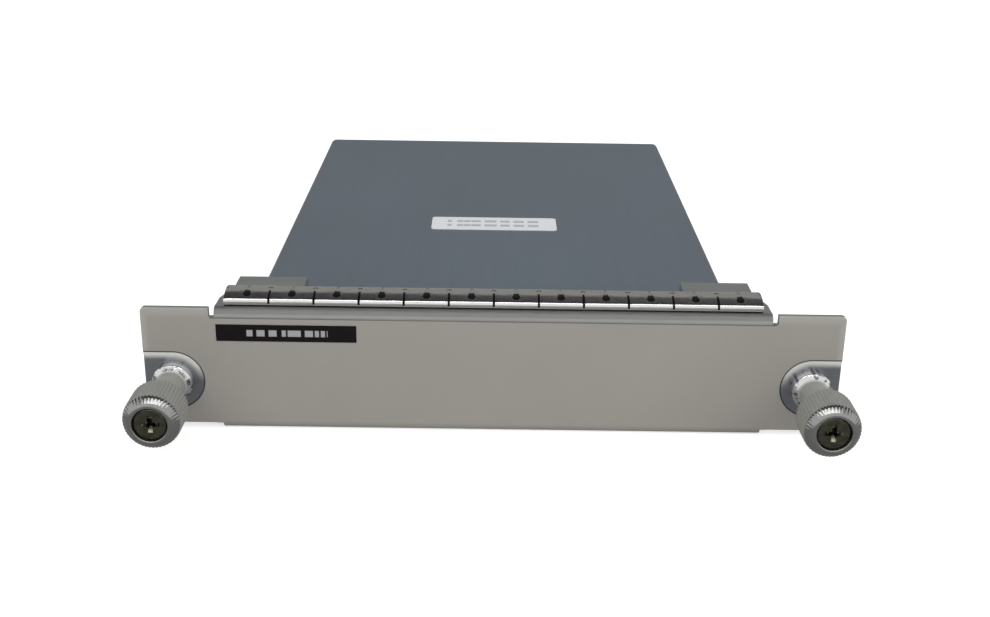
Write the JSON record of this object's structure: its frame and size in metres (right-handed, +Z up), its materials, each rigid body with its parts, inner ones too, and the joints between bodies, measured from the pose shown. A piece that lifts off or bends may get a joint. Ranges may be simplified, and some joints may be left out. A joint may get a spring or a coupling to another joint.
{
  "type": "module slot blank cover",
  "caption": "Blank cover for an empty module slot: a folded front panel with captive thumbscrews, a spring finger gasket on its top flange and a folded tray behind it.",
  "frame": {"origin": "midway between the two thumbscrew axes, on the rear face of the front panel, which meets the chassis", "axes": "+X to the right seen from the front, +Y to the rear along the thumbscrews, +Z up"},
  "size_m": [0.146, 0.1725, 0.03],
  "materials": {
    "panel_paint": "satin warm grey paint, bare at the seats and the flanges",
    "tray_zinc": "satin zinc",
    "gasket_nickel": "bright nickel",
    "ferrule_steel": "bright turned",
    "knob_metal": "satin knurled",
    "screw_steel": "dark zinc",
    "spring_steel": "plain",
    "label_white": "matt",
    "strip_black": "matt"
  },
  "bodies": {
    "cover": {"front_panel": "panel_paint", "tray": "tray_zinc", "gasket_strip": "gasket_nickel", "tray_label": "label_white", "face_strip": "strip_black", "left_ferrule": "ferrule_steel", "right_ferrule": "ferrule_steel"},
    "left_plunger": {"left_spring": "spring_steel"},
    "left_thumbscrew": {"left_knob": "knob_metal", "left_screw": "screw_steel"},
    "right_plunger": {"right_spring": "spring_steel"},
    "right_thumbscrew": {"right_knob": "knob_metal", "right_screw": "screw_steel"}
  },
  "joints": [
    {"name": "left_push", "type": "slide", "parent": "cover", "child": "left_plunger", "axis": [0, 1, 0], "range_m": [0, 0.0045], "stiffness_N_per_m": 400, "springref_m": -0.004, "deforming": ["left_spring"]},
    {"name": "left_turn", "type": "hinge", "parent": "left_plunger", "child": "left_thumbscrew", "pos_m": [-0.0669, 0, 0], "axis": [0, 1, 0], "continuous": true},
    {"name": "right_push", "type": "slide", "parent": "cover", "child": "right_plunger", "axis": [0, 1, 0], "range_m": [0, 0.0045], "stiffness_N_per_m": 400, "springref_m": -0.004, "deforming": ["right_spring"]},
    {"name": "right_turn", "type": "hinge", "parent": "right_plunger", "child": "right_thumbscrew", "pos_m": [0.0669, 0, 0], "axis": [0, 1, 0], "continuous": true}
  ]
}
